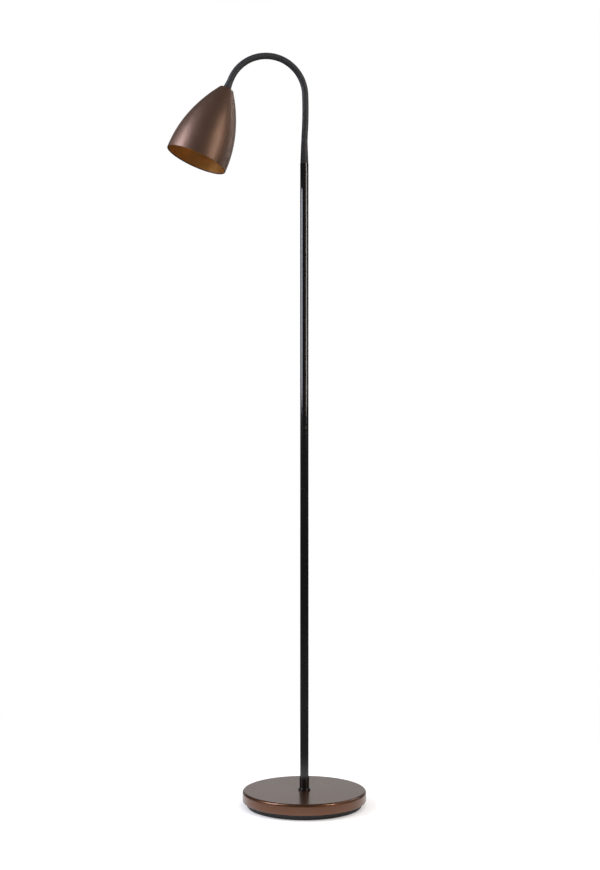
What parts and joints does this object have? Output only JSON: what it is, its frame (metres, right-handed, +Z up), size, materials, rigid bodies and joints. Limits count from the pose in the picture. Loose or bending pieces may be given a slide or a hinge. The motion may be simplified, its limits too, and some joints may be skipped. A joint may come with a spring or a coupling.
{
  "type": "gooseneck floor lamp",
  "caption": "Floor lamp with a round weighted base, a slim upright pole, a bendable gooseneck and a bell-shaped metal shade over a globe bulb.",
  "frame": {"origin": "centre of the underside of the foot pad, on the floor, on the pole's axis", "axes": "+Z up along the pole; the neck reaches over to -X and bends in the XZ plane; +Y is the back, where the cord inlet is"},
  "size_m": [0.356, 0.22, 1.3374],
  "materials": {
    "bronze_lacquer": "satin",
    "black_lacquer": "gloss",
    "black_moulding": "satin",
    "black_foam": "matte",
    "sleeve_vinyl": "matte",
    "grey_iron": "matte",
    "zinc_plate": "satin",
    "neck_steel": "satin",
    "brass": "satin",
    "cord_insulation": "satin",
    "terminal_moulding": "satin",
    "lampholder_moulding": "satin",
    "steatite": "matte",
    "opal_glass": "satin",
    "bulb_moulding": "satin",
    "nickel_cap": "satin"
  },
  "bodies": {
    "stand": {"foot_pad": "black_foam", "bottom_cover": "black_moulding", "cover_screws": "zinc_plate", "base_weight": "grey_iron", "base_shell": "bronze_lacquer", "base_washer": "zinc_plate", "base_nut": "zinc_plate", "threaded_nipple": "zinc_plate", "cord_gland": "black_moulding", "cord_grip": "black_moulding", "cord_grip_screws": "zinc_plate", "terminal_block": "terminal_moulding", "terminal_block_screw": "zinc_plate", "terminal_ways": "brass", "pole_socket": "black_lacquer", "pole_plug": "zinc_plate", "pole_tube": "black_lacquer", "pole_ferrule": "zinc_plate", "gooseneck_sleeve": "sleeve_vinyl", "inner_lead": "cord_insulation"},
    "neck_01": {"neck_link_01": "neck_steel"},
    "neck_02": {"neck_link_02": "neck_steel"},
    "neck_03": {"neck_link_03": "neck_steel"},
    "neck_04": {"neck_link_04": "neck_steel"},
    "neck_05": {"neck_link_05": "neck_steel"},
    "neck_06": {"neck_link_06": "neck_steel"},
    "neck_07": {"neck_link_07": "neck_steel"},
    "neck_08": {"neck_link_08": "neck_steel"},
    "neck_09": {"neck_link_09": "neck_steel"},
    "neck_10": {"neck_link_10": "neck_steel"},
    "neck_11": {"neck_link_11": "neck_steel"},
    "neck_12": {"neck_link_12": "neck_steel"},
    "neck_13": {"neck_link_13": "neck_steel"},
    "neck_14": {"neck_link_14": "neck_steel"},
    "neck_15": {"neck_link_15": "neck_steel"},
    "neck_16": {"neck_link_16": "neck_steel"},
    "head": {"head_ferrule": "zinc_plate", "shade": "bronze_lacquer", "crown_washer": "zinc_plate", "crown_nut": "zinc_plate", "lampholder_cap": "lampholder_moulding", "lampholder_carrier": "steatite", "lampholder_skirt": "lampholder_moulding", "lampholder_shell": "brass", "lampholder_contact": "brass", "bulb_contact": "brass", "bulb_screw": "nickel_cap", "bulb_housing": "bulb_moulding", "bulb_globe": "opal_glass"}
  },
  "joints": [
    {"name": "neck_lower_bend", "type": "hinge", "parent": "stand", "child": "neck_01", "pos_m": [0, 0, 1.174], "axis": [0, -1, 0], "range_deg": [-15, 6], "deforming": ["gooseneck_sleeve", "inner_lead"]},
    {"name": "neck_lower_bend_2", "type": "hinge", "parent": "neck_01", "child": "neck_02", "pos_m": [0.00074, 0, 1.19748], "axis": [0, -1, 0], "range_deg": [-15.02, 6.02]},
    {"name": "neck_side_bend", "type": "hinge", "parent": "neck_02", "child": "neck_03", "pos_m": [0.00137, 0, 1.20922], "axis": [-0.999, 0, 0.0454], "range_deg": [-14, 14]},
    {"name": "neck_lower_bend_3", "type": "hinge", "parent": "neck_03", "child": "neck_04", "pos_m": [0.0018, 0, 1.22096], "axis": [0, -1, 0], "range_deg": [-15.02, 6.02]},
    {"name": "neck_lower_bend_4", "type": "hinge", "parent": "neck_04", "child": "neck_05", "pos_m": [0.00205, 0, 1.24446], "axis": [0, -1, 0], "range_deg": [-15.02, 6.02]},
    {"name": "neck_upper_bend_2", "type": "hinge", "parent": "neck_05", "child": "neck_06", "pos_m": [0.00148, 0, 1.26795], "axis": [0, -1, 0], "range_deg": [-11.14, 1.01]},
    {"name": "neck_side_bend_2", "type": "hinge", "parent": "neck_06", "child": "neck_07", "pos_m": [-0.00005, 0, 1.27958], "axis": [-0.9762, 0, -0.2169], "range_deg": [-14.02, 14.02]},
    {"name": "neck_upper_bend_3", "type": "hinge", "parent": "neck_07", "child": "neck_08", "pos_m": [-0.00359, 0, 1.29077], "axis": [0, -1, 0], "range_deg": [-20.27, 1.83]},
    {"name": "neck_upper_bend_4", "type": "hinge", "parent": "neck_08", "child": "neck_09", "pos_m": [-0.01625, 0, 1.31043], "axis": [0, -1, 0], "range_deg": [-20.27, 1.83]},
    {"name": "neck_upper_bend_5", "type": "hinge", "parent": "neck_09", "child": "neck_10", "pos_m": [-0.03493, 0, 1.32449], "axis": [0, -1, 0], "range_deg": [-20.27, 1.83]},
    {"name": "neck_side_bend_3", "type": "hinge", "parent": "neck_10", "child": "neck_11", "pos_m": [-0.04582, 0, 1.32884], "axis": [-0.2878, 0, -0.9577], "range_deg": [-14.02, 14.02]},
    {"name": "neck_upper_bend_6", "type": "hinge", "parent": "neck_11", "child": "neck_12", "pos_m": [-0.05731, 0, 1.33121], "axis": [0, -1, 0], "range_deg": [-19.32, 1.75]},
    {"name": "neck_upper_bend_7", "type": "hinge", "parent": "neck_12", "child": "neck_13", "pos_m": [-0.08069, 0, 1.33016], "axis": [0, -1, 0], "range_deg": [-18.37, 1.66]},
    {"name": "neck_upper_bend_8", "type": "hinge", "parent": "neck_13", "child": "neck_14", "pos_m": [-0.10255, 0, 1.32181], "axis": [0, -1, 0], "range_deg": [-18.37, 1.66]},
    {"name": "neck_side_bend_4", "type": "hinge", "parent": "neck_14", "child": "neck_15", "pos_m": [-0.1122, 0, 1.31513], "axis": [0.633, 0, -0.7741], "range_deg": [-14.02, 14.02]},
    {"name": "neck_upper_bend_9", "type": "hinge", "parent": "neck_15", "child": "neck_16", "pos_m": [-0.12066, 0, 1.30699], "axis": [0, -1, 0], "range_deg": [-18.37, 1.66]},
    {"name": "neck_upper_bend", "type": "hinge", "parent": "neck_16", "child": "head", "pos_m": [-0.13319, 0, 1.28723], "axis": [0, -1, 0], "range_deg": [-9.18, 0.82]}
  ],
  "couplings": [
    {"joint": "neck_lower_bend_2", "follows": "neck_lower_bend", "ratio": 1},
    {"joint": "neck_lower_bend_3", "follows": "neck_lower_bend", "ratio": 1},
    {"joint": "neck_lower_bend_4", "follows": "neck_lower_bend", "ratio": 1},
    {"joint": "neck_upper_bend_2", "follows": "neck_upper_bend", "ratio": 1.2125},
    {"joint": "neck_side_bend_2", "follows": "neck_side_bend", "ratio": 1},
    {"joint": "neck_upper_bend_3", "follows": "neck_upper_bend", "ratio": 2.2071},
    {"joint": "neck_upper_bend_4", "follows": "neck_upper_bend", "ratio": 2.2071},
    {"joint": "neck_upper_bend_5", "follows": "neck_upper_bend", "ratio": 2.2071},
    {"joint": "neck_side_bend_3", "follows": "neck_side_bend", "ratio": 1},
    {"joint": "neck_upper_bend_6", "follows": "neck_upper_bend", "ratio": 2.1035},
    {"joint": "neck_upper_bend_7", "follows": "neck_upper_bend", "ratio": 2},
    {"joint": "neck_upper_bend_8", "follows": "neck_upper_bend", "ratio": 2},
    {"joint": "neck_side_bend_4", "follows": "neck_side_bend", "ratio": 1},
    {"joint": "neck_upper_bend_9", "follows": "neck_upper_bend", "ratio": 2}
  ]
}
